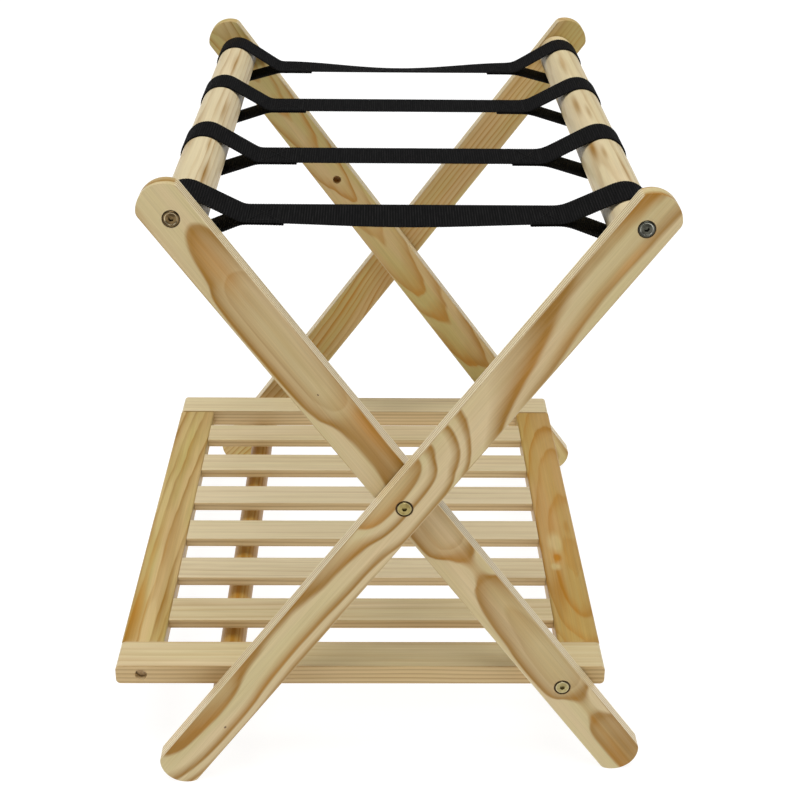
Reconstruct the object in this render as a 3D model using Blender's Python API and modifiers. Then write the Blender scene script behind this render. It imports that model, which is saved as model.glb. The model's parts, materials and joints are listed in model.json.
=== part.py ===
"""Folding luggage rack of clear-finished pine, as separate parts.

Two scissor frames cross on one axis, with a round top rail on each, four webbing straps between
the rails, and a slatted shelf that swings on the inner frame and rests on the outer frame's
stretcher. Metres, +Z up, +X to the right, front towards -Y, the feet on Z = 0.
"""
import math

import bmesh
import bpy
from mathutils import Matrix, Vector

# ---------------------------------------------------------------- driving dimensions
GAP = 0.0003                    # air left between two faces that touch
DEPTH = 0.624                   # over the outer legs' outer faces

LEG_LENGTH = 0.665
LEG_WIDTH = 0.0388
LEG_THICKNESS = 0.0165
LEG_ROUNDING = 0.003
LEG_END_RADIUS = 0.0225         # of the arc across a leg's end
LEG_CORNER_RADIUS = 0.008       # where that arc meets the leg's long edges
PIVOT_FROM_TOP = 0.327          # from a leg's top end down to the scissor axis
OPEN_HALF_ANGLE = math.radians(36.7)
WASHER_THICKNESS = 0.0009
WASHER_RADIUS = 0.0086
SPACER_RADIUS = 0.0068

RAIL_RADIUS = 0.0185
RAIL_FROM_TOP = 0.0386          # from a leg's top end down to the rail's axis
RAIL_BOLT_OFFSET = 0.0094       # the bolt sits this far above the rail's axis, the pin as far below

STRETCHER_RADIUS = 0.0117
STRETCHER_TENON_RADIUS = 0.0075
STRETCHER_TENON_LENGTH = 0.010

SHELF_WIDTH = 0.430             # along X
SHELF_DEPTH = 0.5515            # along Y
SHELF_THICKNESS = 0.018
SHELF_RIGHT_OF_PIVOT = 0.0393   # from the shelf bolt to the shelf's right edge
SHELF_BOLT_FROM_FOOT = 0.1041   # from an inner leg's foot end up to the shelf bolt
MEMBER_WIDTH = 0.038
MEMBER_ROUNDING = 0.0022
MEMBER_CORNER = 0.004           # at the ends of the shelf's front and back rails
SLAT_COUNT = 6
SLAT_THICKNESS = 0.0095
TENON_LENGTH = 0.008
TENON_WIDTH = 0.030
TENON_THICKNESS = 0.0055
DOWEL_RADIUS = 0.005
DOWEL_LENGTH = 0.055
DOWEL_RECESS = 0.0055
DOWEL_INSET = 0.0031            # from a side rail's middle towards the shelf's middle

JOINT_HEAD_RADIUS = 0.0059      # of the flat-headed bolts that the rack folds on
JOINT_SEAT_RADIUS = 0.0072
RAIL_HEAD_RADIUS = 0.0064       # of the dished heads that hold the top rails
RAIL_SEAT_RADIUS = 0.0069
DISH_RADIUS = 0.0053
DISH_FLOOR_RADIUS = 0.0042
DISH_DEPTH = 0.0008
BOLT_HEAD_HEIGHT = 0.0030
BOLT_HEAD_PROUD = 0.0005
BOLT_SHOULDER_RADIUS = 0.0040
BOLT_THREAD_RADIUS = 0.0030
BOLT_ROUNDING = 0.0007
SOCKET_RADIUS = 0.0023          # to a corner of the hexagon
SOCKET_DEPTH = 0.0024
INSERT_RADIUS = 0.0050
INSERT_LENGTH = 0.013
PIN_RADIUS = 0.004
PIN_IN_LEG = 0.009
PIN_IN_RAIL = 0.015
INDEX_HOLE_RADIUS = 0.0046      # open blind hole in each inner leg's inner face
INDEX_HOLE_DEPTH = 0.011
INDEX_HOLE_ABOVE_PIVOT = 0.1137

STRAP_WIDTH = 0.045
STRAP_THICKNESS = 0.002
STRAP_OUTER_PLACE = 0.250       # from mid-depth to the outer straps' middles
STRAP_INNER_PLACE = 0.0837
STRAP_BELOW_RAIL_AXIS = 0.005
STRAP_SPLIT = 0.127             # from the middle to where a strap splits round a rail
STRAP_SEW_END = 0.090           # from the middle to where the sewn overlap ends

ROD_ROUNDING = 0.0008           # at the ends of rails, pins and dowels
SLAT_ROUNDING = 0.0016
RAIL_BOLT_LENGTH = 0.034        # under the head
RAIL_PILOT_DEPTH = 0.045
SHELF_BOLT_THREAD = 0.020
SHELF_PILOT_DEPTH = 0.024

ROUND_SIDES = 48                # of a rail
STRETCHER_SIDES = 32
BOLT_SIDES = 24
LEG_END_STEPS = 14
LEG_CORNER_STEPS = 6
MEMBER_CORNER_STEPS = 6
BOLT_ROUNDING_STEPS = 3
LOOP_STEPS = 30                 # of webbing round a rail
WELD = 0.00001                  # points closer than this are one
OVERRUN = 0.001                 # how far a cutter stands out of the face that it opens

# ---------------------------------------------------------------- worked out from them
COLLECTION = "luggage_rack"
LEG_TOP = PIVOT_FROM_TOP
LEG_FOOT = LEG_LENGTH - PIVOT_FROM_TOP
SIN_OPEN = math.sin(OPEN_HALF_ANGLE)
COS_OPEN = math.cos(OPEN_HALF_ANGLE)
PIVOT_HEIGHT = (LEG_FOOT - LEG_END_RADIUS) * COS_OPEN + LEG_END_RADIUS

# a corner's arc touches the end's arc from inside, and the leg's long edge
CORNER_ACROSS = LEG_WIDTH / 2 - LEG_CORNER_RADIUS
CORNER_BEYOND = math.sqrt((LEG_END_RADIUS - LEG_CORNER_RADIUS) ** 2 - CORNER_ACROSS ** 2)
CORNER_ANGLE = math.atan2(CORNER_BEYOND, CORNER_ACROSS)
CORNER_DOWN = LEG_FOOT - LEG_END_RADIUS + CORNER_BEYOND

SHELF_BOLT_BELOW = LEG_FOOT - SHELF_BOLT_FROM_FOOT
SHELF_PIVOT = Vector((SHELF_BOLT_BELOW * SIN_OPEN, 0, -SHELF_BOLT_BELOW * COS_OPEN))
SHELF_LEFT = SHELF_RIGHT_OF_PIVOT - SHELF_WIDTH
FOOT_REACH = CORNER_DOWN * SIN_OPEN + CORNER_ACROSS * COS_OPEN + LEG_CORNER_RADIUS
LOW_X = SHELF_PIVOT.x + SHELF_LEFT
# the scissor axis, placed so that the whole rack's box is centred on X = 0 and stands on Z = 0
PIVOT = Vector((-(LOW_X + FOOT_REACH) / 2, 0, PIVOT_HEIGHT))

OUTER_LEG_OUT = DEPTH / 2
OUTER_LEG_IN = OUTER_LEG_OUT - LEG_THICKNESS
INNER_LEG_OUT = OUTER_LEG_IN - WASHER_THICKNESS - 2 * GAP
INNER_LEG_IN = INNER_LEG_OUT - LEG_THICKNESS
SHELF_END = SHELF_DEPTH / 2
RAIL_UP = LEG_TOP - RAIL_FROM_TOP
RAIL_BOLT_UP = RAIL_UP + RAIL_BOLT_OFFSET
RAIL_PIN_UP = RAIL_UP - RAIL_BOLT_OFFSET
HEAD_SINK = BOLT_HEAD_HEIGHT - BOLT_HEAD_PROUD
SHOULDER_BORE = BOLT_SHOULDER_RADIUS + GAP
PILOT_RADIUS = BOLT_THREAD_RADIUS + GAP
HEXAGON = 6
SHOULDER_IN_LEG = LEG_THICKNESS - HEAD_SINK

SHELF_UNDERSIDE = SHELF_PIVOT.z - SHELF_THICKNESS / 2
STRETCHER_DOWN = (GAP + STRETCHER_RADIUS - SHELF_UNDERSIDE) / COS_OPEN


# ---------------------------------------------------------------- scene, materials, collections
def clear_scene():
    for thing in list(bpy.data.objects):
        bpy.data.objects.remove(thing, do_unlink=True)


def new_collection(name, hidden=False):
    made = bpy.data.collections.new(name)
    bpy.context.scene.collection.children.link(made)
    made.hide_render = hidden
    return made


def make_material(name, colour, roughness, metallic=0.0):
    made = bpy.data.materials.new(name)
    made.use_nodes = True
    shader = made.node_tree.nodes["Principled BSDF"]
    shader.inputs["Base Color"].default_value = (*colour, 1)
    shader.inputs["Roughness"].default_value = roughness
    shader.inputs["Metallic"].default_value = metallic
    made.diffuse_color = (*colour, 1)
    return made


clear_scene()
RACK = new_collection(COLLECTION)
CUTTERS = new_collection("cutters", hidden=True)

PINE = make_material("pine", (0.50, 0.34, 0.15), 0.42)
PINE_PALE = make_material("pine_pale", (0.60, 0.45, 0.25), 0.45)
BEECH = make_material("beech", (0.55, 0.36, 0.19), 0.55)
BRONZE = make_material("bronze", (0.060, 0.045, 0.030), 0.32, 1.0)
BRASS = make_material("brass", (0.45, 0.37, 0.20), 0.34, 1.0)
STEEL = make_material("zinc_steel", (0.62, 0.60, 0.52), 0.35, 1.0)
NYLON = make_material("nylon", (0.75, 0.74, 0.70), 0.50)
WEBBING = make_material("webbing", (0.010, 0.010, 0.011), 0.85)


def make_empty(name, place, turn=0.0):
    """A frame's carrier: its origin is on the frame's joint axis, turned about Y."""
    made = bpy.data.objects.new(name, None)
    made.empty_display_size = 0.03
    made.location = place
    made.rotation_euler = (0, turn, 0)
    RACK.objects.link(made)
    return made


INNER = make_empty("inner_frame_axis", PIVOT, -OPEN_HALF_ANGLE)
OUTER = make_empty("outer_frame_axis", PIVOT, OPEN_HALF_ANGLE)
SHELF = make_empty("shelf_axis", PIVOT + SHELF_PIVOT)
STRAPS = make_empty("strap_centre", PIVOT)


# ---------------------------------------------------------------- shape tools
def link(name, mesh, material, parent, place=(0, 0, 0), turn=(0, 0, 0)):
    made = bpy.data.objects.new(name, mesh)
    made.location = place
    made.rotation_euler = turn
    made.parent = parent
    if material:
        mesh.materials.clear()
        mesh.materials.append(material)
    RACK.objects.link(made)
    return made


def box_mesh(name, low, high):
    """A box between two corners."""
    mesh = bpy.data.meshes.new(name)
    made = bmesh.new()
    bmesh.ops.create_cube(made, size=1.0)
    size = Matrix.Diagonal((*(Vector(high) - Vector(low)), 1))
    middle = Matrix.Translation((Vector(high) + Vector(low)) / 2)
    bmesh.ops.transform(made, matrix=middle @ size, verts=made.verts)
    made.to_mesh(mesh)
    made.free()
    return mesh


def rod_mesh(name, radius, low, high, sides=BOLT_SIDES, at=(0, 0)):
    """A closed cylinder along Y from low to high, about the line x, z = at."""
    mesh = bpy.data.meshes.new(name)
    made = bmesh.new()
    bmesh.ops.create_cone(
        made, cap_ends=True, segments=sides, radius1=radius, radius2=radius, depth=high - low
    )
    stand = Matrix.Rotation(math.radians(90), 4, "X")
    middle = Matrix.Translation((at[0], (low + high) / 2, at[1]))
    bmesh.ops.transform(made, matrix=middle @ stand, verts=made.verts)
    made.to_mesh(mesh)
    made.free()
    return mesh


def turned(name, profile, material, parent, place, facing, sides=BOLT_SIDES, ring=False):
    """A profile of (radius, height) points, listed from top to bottom, turned about its axis.

    facing is 1 where the top looks towards +Y and -1 where it looks towards -Y. The profile of a
    ring is closed from its last point back to its first.
    """
    mesh = bpy.data.meshes.new(name)
    outline = [(radius, 0, height) for radius, height in profile]
    edges = [(at, at + 1) for at in range(len(outline) - 1)]
    if ring:
        edges.append((len(outline) - 1, 0))
    mesh.from_pydata(outline, edges, [])
    made = link(name, mesh, material, parent, place, (math.radians(-90 * facing), 0, 0))
    screw = made.modifiers.new("turn", "SCREW")
    screw.axis = "Z"
    screw.steps = sides
    screw.render_steps = sides
    screw.use_merge_vertices = True
    screw.merge_threshold = WELD
    return made


def sleeve(name, bore, radius, length, material, parent, place, facing):
    """A plain ring, its top at the given place."""
    profile = [(bore, 0), (radius, 0), (radius, -length), (bore, -length)]
    turned(name, profile, material, parent, place, facing, ring=True)


def round_edges(made, width, segments=3, angle=40):
    bevel = made.modifiers.new("round_edges", "BEVEL")
    bevel.width = width
    bevel.segments = segments
    bevel.limit_method = "ANGLE"
    bevel.angle_limit = math.radians(angle)
    return made


def cut(made, mesh, parent):
    """Cut a closed shape, given in the parent's own space, out of a part."""
    tool = bpy.data.objects.new("cut_" + mesh.name, mesh)
    tool.parent = parent
    tool.display_type = "WIRE"
    tool.hide_render = True
    CUTTERS.objects.link(tool)
    boolean = made.modifiers.new("cut", "BOOLEAN")
    boolean.operation = "DIFFERENCE"
    boolean.solver = "EXACT"
    boolean.object = tool


def flat_shape(name, outlines, thickness, material, parent, place=(0, 0, 0)):
    """A flat outline in X and Z, with any holes after it, made thick along Y and turned to mesh."""
    curve = bpy.data.curves.new(name, "CURVE")
    curve.dimensions = "2D"
    curve.fill_mode = "BOTH"
    curve.extrude = thickness / 2
    for outline in outlines:
        spline = curve.splines.new("POLY")
        spline.points.add(len(outline) - 1)
        for point, (x, z) in zip(spline.points, outline):
            point.co = (x, z, 0, 1)
        spline.use_cyclic_u = True
    drawn = bpy.data.objects.new(name + "_outline", curve)
    RACK.objects.link(drawn)
    bpy.context.view_layer.update()
    evaluated = drawn.evaluated_get(bpy.context.evaluated_depsgraph_get())
    mesh = bpy.data.meshes.new_from_object(evaluated)
    bpy.data.objects.remove(drawn, do_unlink=True)
    welded = bmesh.new()
    welded.from_mesh(mesh)
    bmesh.ops.remove_doubles(welded, verts=welded.verts, dist=WELD)
    stand = Matrix.Rotation(math.radians(90), 4, "X")
    bmesh.ops.transform(welded, matrix=stand, verts=welded.verts)
    bmesh.ops.recalc_face_normals(welded, faces=welded.faces)
    welded.to_mesh(mesh)
    welded.free()
    mesh.name = name
    return link(name, mesh, material, parent, place)


def arc(centre, radius, start, end, steps):
    """Points on an arc in X and Z, from one angle to another."""
    return [
        (
            centre[0] + radius * math.cos(start + (end - start) * at / steps),
            centre[1] + radius * math.sin(start + (end - start) * at / steps),
        )
        for at in range(steps + 1)
    ]


# ---------------------------------------------------------------- fasteners
def joint_head():
    """A flat head: half its outline from the middle of its top to its rim's top edge."""
    return JOINT_HEAD_RADIUS, [(0, BOLT_HEAD_HEIGHT)]


def rail_head():
    """A head with a shallow dish inside its rim."""
    floor = BOLT_HEAD_HEIGHT - DISH_DEPTH
    dish = [(0, floor), (DISH_FLOOR_RADIUS, floor), (DISH_RADIUS, BOLT_HEAD_HEIGHT)]
    return RAIL_HEAD_RADIUS, dish


def bolt(name, parent, x, z, face, side, shoulder, thread, head, material):
    """A bolt with a hex socket, its head looking out of the face towards side (+1, -1).

    shoulder is the plain length under the head, and thread the thinner length beyond it.
    """
    radius, profile = head()
    floor = profile[0][1]
    rim = BOLT_HEAD_HEIGHT - BOLT_ROUNDING
    profile += arc((radius - BOLT_ROUNDING, rim), BOLT_ROUNDING, math.pi / 2, 0, BOLT_ROUNDING_STEPS)
    profile += [
        (radius, 0),
        (BOLT_SHOULDER_RADIUS, 0),
        (BOLT_SHOULDER_RADIUS, -shoulder),
        (BOLT_THREAD_RADIUS, -shoulder),
        (BOLT_THREAD_RADIUS, -shoulder - thread + BOLT_ROUNDING),
        (BOLT_THREAD_RADIUS - BOLT_ROUNDING, -shoulder - thread),
        (0, -shoulder - thread),
    ]
    seat = face - HEAD_SINK
    made = turned(name, profile, material, parent, (x, side * seat, z), side)
    socket = sorted((side * (seat + floor - SOCKET_DEPTH), side * (seat + floor + OVERRUN)))
    cut(made, rod_mesh(name + "_socket", SOCKET_RADIUS, *socket, HEXAGON, (x, z)), parent)


def bolt_hole(made, parent, x, z, face, side, seat_radius):
    """A bolt's hole right through a leg, with the shallow counterbore that its head sits in."""
    blind_hole(made, parent, x, z, face, side, HEAD_SINK + GAP, seat_radius)
    blind_hole(made, parent, x, z, face, side, LEG_THICKNESS + OVERRUN, SHOULDER_BORE)


def insert(name, parent, x, z, mouth, side):
    """A threaded insert: a plain sleeve here, its mouth at the given depth, open towards side."""
    place = (x, side * mouth, z)
    sleeve(name, PILOT_RADIUS, INSERT_RADIUS, INSERT_LENGTH, STEEL, parent, place, side)


def blind_hole(made, parent, x, z, mouth, side, depth, radius):
    """A blind round hole from a face that looks towards side."""
    span = sorted((side * (mouth + OVERRUN), side * (mouth - depth)))
    cut(made, rod_mesh(made.name + "_hole", radius, *span, at=(x, z)), parent)


# ---------------------------------------------------------------- legs
def leg_end(centre, turn):
    """A leg's end: a wide arc between two tighter corners, turned by 0 at the top or half a turn."""
    flip = 1 if turn == 0 else -1
    right = (flip * CORNER_ACROSS, centre[1] + flip * CORNER_BEYOND)
    left = (-flip * CORNER_ACROSS, centre[1] + flip * CORNER_BEYOND)
    rise = turn + CORNER_ANGLE
    fall = turn + math.pi - CORNER_ANGLE
    outline = arc(right, LEG_CORNER_RADIUS, turn, rise, LEG_CORNER_STEPS)
    outline += arc(centre, LEG_END_RADIUS, rise, fall, LEG_END_STEPS)[1:-1]
    outline += arc(left, LEG_CORNER_RADIUS, fall, turn + math.pi, LEG_CORNER_STEPS)
    return outline


def leg(name, parent, y_outer, side):
    """A flat bar with round ends; its own Z runs up the leg and its origin is the pivot."""
    top = (0, LEG_TOP - LEG_END_RADIUS)
    foot = (0, LEG_END_RADIUS - LEG_FOOT)
    outline = leg_end(top, 0)
    outline += leg_end(foot, math.pi)
    middle = side * (y_outer - LEG_THICKNESS / 2)
    made = flat_shape(name, [outline], LEG_THICKNESS, PINE, parent, (0, middle, 0))
    return round_edges(made, LEG_ROUNDING)


def leg_holes(made, parent, side, outer, inner):
    """Rail bolt and locating pin holes near the top of a leg."""
    bolt_hole(made, parent, 0, RAIL_BOLT_UP, outer, side, RAIL_SEAT_RADIUS)
    blind_hole(made, parent, 0, RAIL_PIN_UP, -inner, -side, PIN_IN_LEG + GAP, PIN_RADIUS + GAP)


# ---------------------------------------------------------------- rails
def top_rail(name, parent, half_length):
    """A round rail between a frame's legs, its ends bored for an insert and a locating pin."""
    half = half_length - GAP
    mesh = rod_mesh(name, RAIL_RADIUS, -half, half, ROUND_SIDES, (0, RAIL_UP))
    made = link(name, mesh, PINE_PALE, parent)
    round_edges(made, ROD_ROUNDING, 1)
    for side in (-1, 1):
        blind_hole(made, parent, 0, RAIL_BOLT_UP, half, side, INSERT_LENGTH + GAP, INSERT_RADIUS + GAP)
        blind_hole(made, parent, 0, RAIL_BOLT_UP, half, side, RAIL_PILOT_DEPTH, PILOT_RADIUS)
        blind_hole(made, parent, 0, RAIL_PIN_UP, half, side, PIN_IN_RAIL + GAP, PIN_RADIUS + GAP)


def rail_fasteners(frame_name, parent, outer, inner):
    """The bolt, the insert and the locating pin at each end of a frame's top rail."""
    for side, end in ((-1, "front"), (1, "back")):
        rail_end = inner - GAP
        bolt(
            f"rail_bolt_{frame_name}_{end}", parent, 0, RAIL_BOLT_UP, outer, side,
            SHOULDER_IN_LEG - GAP, RAIL_BOLT_LENGTH - SHOULDER_IN_LEG, rail_head, BRONZE,
        )
        insert(f"rail_insert_{frame_name}_{end}", parent, 0, RAIL_BOLT_UP, rail_end - GAP, side)
        reach = sorted((side * (inner + PIN_IN_LEG), side * (rail_end - PIN_IN_RAIL)))
        name = f"rail_pin_{frame_name}_{end}"
        made = link(name, rod_mesh(name, PIN_RADIUS, *reach, at=(0, RAIL_PIN_UP)), BEECH, parent)
        round_edges(made, ROD_ROUNDING, 1)


# ---------------------------------------------------------------- inner frame
def inner_frame():
    for side, end in ((-1, "front"), (1, "back")):
        made = leg(f"inner_leg_{end}", INNER, INNER_LEG_OUT, side)
        leg_holes(made, INNER, side, INNER_LEG_OUT, INNER_LEG_IN)
        bolt_hole(made, INNER, 0, -SHELF_BOLT_BELOW, INNER_LEG_OUT, side, JOINT_SEAT_RADIUS)
        blind_hole(made, INNER, 0, 0, INNER_LEG_OUT, side, INSERT_LENGTH + 2 * GAP, INSERT_RADIUS + GAP)
        blind_hole(
            made, INNER, 0, INDEX_HOLE_ABOVE_PIVOT, -INNER_LEG_IN, -side,
            INDEX_HOLE_DEPTH, INDEX_HOLE_RADIUS,
        )
        washer_face = side * (OUTER_LEG_IN - GAP)
        sleeve(
            f"pivot_washer_{end}", SHOULDER_BORE, WASHER_RADIUS, WASHER_THICKNESS,
            NYLON, INNER, (0, washer_face, 0), side,
        )
        insert(f"pivot_insert_{end}", INNER, 0, 0, INNER_LEG_OUT - GAP, side)
        shoulder = OUTER_LEG_OUT - HEAD_SINK - INNER_LEG_OUT
        thread = INSERT_LENGTH - GAP
        bolt(
            f"pivot_bolt_{end}", INNER, 0, 0, OUTER_LEG_OUT, side,
            shoulder, thread, joint_head, BRASS,
        )
    top_rail("top_rail_left", INNER, INNER_LEG_IN)
    rail_fasteners("inner", INNER, INNER_LEG_OUT, INNER_LEG_IN)


# ---------------------------------------------------------------- outer frame
def outer_frame():
    for side, end in ((-1, "front"), (1, "back")):
        made = leg(f"outer_leg_{end}", OUTER, OUTER_LEG_OUT, side)
        leg_holes(made, OUTER, side, OUTER_LEG_OUT, OUTER_LEG_IN)
        bolt_hole(made, OUTER, 0, 0, OUTER_LEG_OUT, side, JOINT_SEAT_RADIUS)
        deep = STRETCHER_TENON_LENGTH + GAP
        wide = STRETCHER_TENON_RADIUS + GAP
        blind_hole(made, OUTER, 0, -STRETCHER_DOWN, -OUTER_LEG_IN, -side, deep, wide)
    top_rail("top_rail_right", OUTER, OUTER_LEG_IN)
    rail_fasteners("outer", OUTER, OUTER_LEG_OUT, OUTER_LEG_IN)
    stretcher()


def stretcher():
    """The round bar under the shelf, with a turned tenon at each end in the outer legs."""
    half = OUTER_LEG_IN - GAP
    tip = OUTER_LEG_IN + STRETCHER_TENON_LENGTH
    profile = [
        (0, tip),
        (STRETCHER_TENON_RADIUS, tip),
        (STRETCHER_TENON_RADIUS, half),
        (STRETCHER_RADIUS, half),
        (STRETCHER_RADIUS, -half),
        (STRETCHER_TENON_RADIUS, -half),
        (STRETCHER_TENON_RADIUS, -tip),
        (0, -tip),
    ]
    place = (0, 0, -STRETCHER_DOWN)
    turned("stretcher", profile, PINE_PALE, OUTER, place, 1, STRETCHER_SIDES)


# ---------------------------------------------------------------- shelf
TOP = SHELF_THICKNESS / 2
SHELF_RIGHT = SHELF_RIGHT_OF_PIVOT
SIDE_MIDDLES = {"left": SHELF_LEFT + MEMBER_WIDTH / 2, "right": SHELF_RIGHT - MEMBER_WIDTH / 2}
DOWEL_PLACES = {"left": SIDE_MIDDLES["left"] + DOWEL_INSET, "right": SIDE_MIDDLES["right"] - DOWEL_INSET}
CROSS_IN = SHELF_END - MEMBER_WIDTH
SLAT_PITCH = (SHELF_DEPTH - MEMBER_WIDTH) / (SLAT_COUNT + 1)
SLAT_FROM = SHELF_LEFT + MEMBER_WIDTH + GAP
SLAT_TO = SHELF_RIGHT - MEMBER_WIDTH - GAP
TENON_MIDDLE = TOP - SLAT_THICKNESS / 2


def slat_place(number):
    return -SHELF_END + MEMBER_WIDTH / 2 + number * SLAT_PITCH


def shelf_cross_rail(end, side):
    """The shelf's front or back rail, full width, with its dowel and shelf bolt holes."""
    low, high = sorted((side * CROSS_IN, side * SHELF_END))
    name = f"shelf_rail_{end}"
    corners = (
        (SHELF_RIGHT - MEMBER_CORNER, TOP - MEMBER_CORNER, 0),
        (SHELF_LEFT + MEMBER_CORNER, TOP - MEMBER_CORNER, 1),
        (SHELF_LEFT + MEMBER_CORNER, MEMBER_CORNER - TOP, 2),
        (SHELF_RIGHT - MEMBER_CORNER, MEMBER_CORNER - TOP, 3),
    )
    outline = []
    for x, z, quarter in corners:
        start = quarter * math.pi / 2
        outline += arc((x, z), MEMBER_CORNER, start, start + math.pi / 2, MEMBER_CORNER_STEPS)
    place = (0, (low + high) / 2, 0)
    made = flat_shape(name, [outline], MEMBER_WIDTH, PINE_PALE, SHELF, place)
    round_edges(made, MEMBER_ROUNDING)
    for dowel in DOWEL_PLACES.values():
        through = rod_mesh(
            name + "_dowel_hole", DOWEL_RADIUS + GAP, low - OVERRUN, high + OVERRUN, at=(dowel, 0)
        )
        cut(made, through, SHELF)
    blind_hole(made, SHELF, 0, 0, SHELF_END, side, INSERT_LENGTH + 2 * GAP, INSERT_RADIUS + GAP)
    blind_hole(made, SHELF, 0, 0, SHELF_END, side, SHELF_PILOT_DEPTH, PILOT_RADIUS)


def shelf_side_rail(hand):
    """A side rail between the front and back rails, mortised for the slats' tenons."""
    middle = SIDE_MIDDLES[hand]
    half = MEMBER_WIDTH / 2
    name = f"shelf_side_{hand}"
    reach = CROSS_IN - GAP
    mesh = box_mesh(name, (middle - half, -reach, -TOP), (middle + half, reach, TOP))
    made = link(name, mesh, PINE, SHELF)
    round_edges(made, MEMBER_ROUNDING)
    for side in (-1, 1):
        depth = DOWEL_LENGTH + DOWEL_RECESS - MEMBER_WIDTH + GAP
        blind_hole(made, SHELF, DOWEL_PLACES[hand], 0, reach, side, depth, DOWEL_RADIUS + GAP)
    inward = 1 if hand == "left" else -1
    face = middle + inward * half
    for number in range(1, SLAT_COUNT + 1):
        place = slat_place(number)
        span = sorted((face + inward * OVERRUN, face - inward * (TENON_LENGTH + GAP)))
        tall = TENON_THICKNESS / 2 + GAP
        wide = TENON_WIDTH / 2 + GAP
        mortise = box_mesh(
            f"{name}_mortise_{number}",
            (span[0], place - wide, TENON_MIDDLE - tall),
            (span[1], place + wide, TENON_MIDDLE + tall),
        )
        cut(made, mortise, SHELF)


def slat(number):
    """A thin slat, its top flush with the rails, with a stub tenon at each end."""
    place = slat_place(number)
    name = f"shelf_slat_{number}"
    half = MEMBER_WIDTH / 2
    low = (SLAT_FROM - TENON_LENGTH, place - half, TOP - SLAT_THICKNESS)
    high = (SLAT_TO + TENON_LENGTH, place + half, TOP)
    made = link(name, box_mesh(name, low, high), PINE_PALE, SHELF)
    round_edges(made, SLAT_ROUNDING, 2)
    side = half + OVERRUN
    above = TOP + OVERRUN
    below = TOP - SLAT_THICKNESS - OVERRUN
    wide = TENON_WIDTH / 2
    tall = TENON_THICKNESS / 2
    for end, shoulder in ((-1, SLAT_FROM), (1, SLAT_TO)):
        low_x, high_x = sorted((shoulder, shoulder + end * (TENON_LENGTH + OVERRUN)))
        waste = {
            "over": ((-side, side), (TENON_MIDDLE + tall, above)),
            "under": ((-side, side), (below, TENON_MIDDLE - tall)),
            "near": ((-side, -wide), (below, above)),
            "far": ((wide, side), (below, above)),
        }
        for part, (across, up) in waste.items():
            block = box_mesh(
                f"{name}_{part}", (low_x, place + across[0], up[0]), (high_x, place + across[1], up[1])
            )
            cut(made, block, SHELF)


def shelf_dowel(hand, end, side):
    """The wooden dowel that ties a side rail to the front or back rail, short of its face."""
    name = f"shelf_dowel_{end}_{hand}"
    outer = SHELF_END - DOWEL_RECESS
    low, high = sorted((side * outer, side * (outer - DOWEL_LENGTH)))
    mesh = rod_mesh(name, DOWEL_RADIUS, low, high, at=(DOWEL_PLACES[hand], 0))
    round_edges(link(name, mesh, BEECH, SHELF), ROD_ROUNDING, 1)


def shelf_bolts(end, side):
    """The bolt that a side of the shelf swings on, its insert, and the spacer against the leg."""
    spacer_length = INNER_LEG_IN - SHELF_END - 2 * GAP
    shoulder = INNER_LEG_OUT - HEAD_SINK - SHELF_END
    bolt(
        f"shelf_bolt_{end}", SHELF, 0, 0, INNER_LEG_OUT, side,
        shoulder, SHELF_BOLT_THREAD, joint_head, BRASS,
    )
    insert(f"shelf_insert_{end}", SHELF, 0, 0, SHELF_END - GAP, side)
    spacer_face = side * (INNER_LEG_IN - GAP)
    sleeve(
        f"shelf_spacer_{end}", SHOULDER_BORE, SPACER_RADIUS, spacer_length,
        NYLON, SHELF, (0, spacer_face, 0), side,
    )


def shelf():
    for side, end in ((-1, "front"), (1, "back")):
        shelf_cross_rail(end, side)
        shelf_bolts(end, side)
        for hand in SIDE_MIDDLES:
            shelf_dowel(hand, end, side)
    for hand in SIDE_MIDDLES:
        shelf_side_rail(hand)
    for number in range(1, SLAT_COUNT + 1):
        slat(number)


# ---------------------------------------------------------------- straps
def tangent(point, centre, radius, turn):
    """Angle on a circle where the line from a point outside touches it, on the side turn (+1, -1)."""
    away = Vector((point[0] - centre[0], point[1] - centre[1]))
    return math.atan2(away.y, away.x) + turn * math.acos(radius / away.length)


def loop_arc(point_over, point_under, centre, radius, hand):
    """The webbing's run round a rail: off the top tangent, round the outside, to the bottom one."""
    start = tangent(point_over, centre, radius, -hand)
    end = tangent(point_under, centre, radius, hand)
    full = 2 * math.pi
    sweep = (end - start) * -hand % full
    return arc(centre, radius, start, start - hand * sweep, LOOP_STEPS)


def strap_outlines():
    """One strap seen along Y: its outer outline, and the hole that each rail passes through."""
    rail_x = RAIL_UP * SIN_OPEN
    rail_z = RAIL_UP * COS_OPEN
    inner_radius = RAIL_RADIUS + GAP
    outer_radius = inner_radius + STRAP_THICKNESS
    level = rail_z - STRAP_BELOW_RAIL_AXIS
    over = level + STRAP_THICKNESS / 2
    under = level - STRAP_THICKNESS / 2
    lap = under - STRAP_THICKNESS
    holes = []
    sides = {}
    for hand in (-1, 1):
        centre = (hand * rail_x, rail_z)
        wedge = (hand * STRAP_SPLIT, under)
        inner = loop_arc(wedge, wedge, centre, inner_radius, hand)
        holes.append([wedge] + inner)
        top = (hand * STRAP_SPLIT, over)
        bottom = (hand * STRAP_SPLIT, lap)
        outer = loop_arc(top, bottom, centre, outer_radius, hand)
        sew_end = [(hand * STRAP_SEW_END, lap), (hand * STRAP_SEW_END, under)]
        sides[hand] = [top] + outer + [bottom] + sew_end
    outline = sides[1] + list(reversed(sides[-1]))
    return [outline] + holes


def straps():
    outlines = strap_outlines()
    places = (-STRAP_OUTER_PLACE, -STRAP_INNER_PLACE, STRAP_INNER_PLACE, STRAP_OUTER_PLACE)
    for number, place in enumerate(places, start=1):
        flat_shape(f"strap_{number}", outlines, STRAP_WIDTH, WEBBING, STRAPS, (0, place, 0))


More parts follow.
